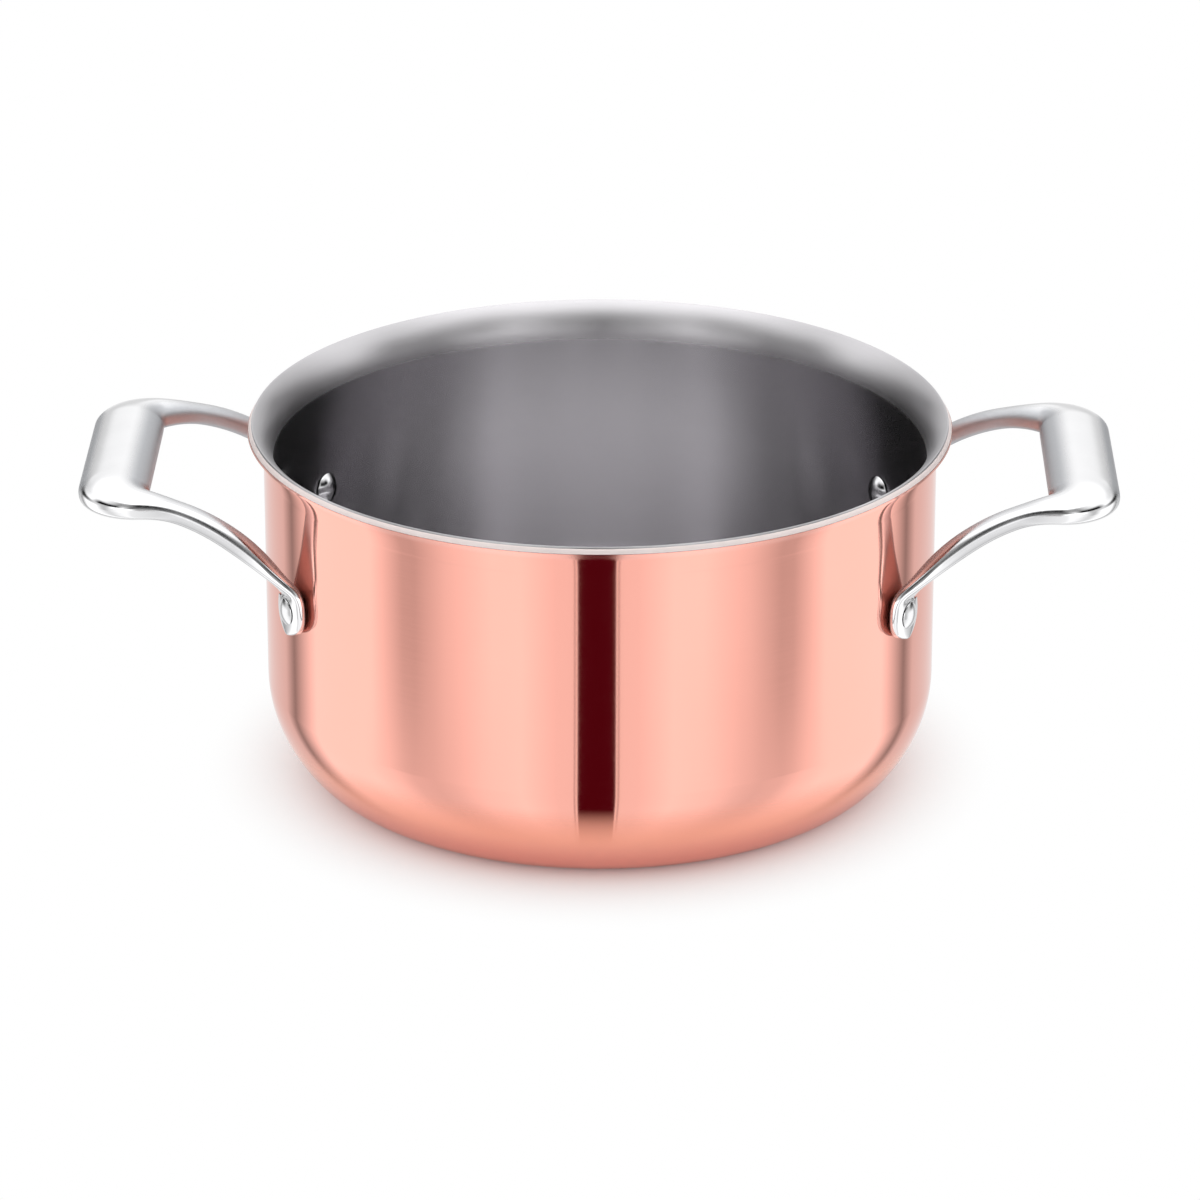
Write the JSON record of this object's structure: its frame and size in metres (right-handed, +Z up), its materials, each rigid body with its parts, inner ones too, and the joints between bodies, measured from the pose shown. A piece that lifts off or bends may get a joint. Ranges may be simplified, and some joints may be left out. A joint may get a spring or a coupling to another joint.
{
  "type": "two-handled sauce pot",
  "caption": "Straight-sided sauce pot of copper-clad sheet with a brushed steel inside, a flared pouring lip, rounded base corner and riveted cast loop handles.",
  "frame": {"origin": "middle of the flat base, on the surface that the pot stands on", "axes": "+Z up along the pot's axis, +X towards the right handle, -Y towards the viewer of the picture"},
  "size_m": [0.315, 0.2154, 0.114],
  "materials": {
    "copper": "polished copper",
    "core": "cut and polished at the rim, hidden elsewhere",
    "lining": "brushed round the pot",
    "handle": "cast stainless steel, mirror polished",
    "rivet": "polished stainless steel"
  },
  "bodies": {
    "root": {"copper_shell": "copper", "aluminium_core": "core", "steel_lining": "lining", "handle_left": "handle", "handle_right": "handle", "rivet_left_front": "rivet", "rivet_left_rear": "rivet", "rivet_right_front": "rivet", "rivet_right_rear": "rivet"}
  },
  "joints": []
}
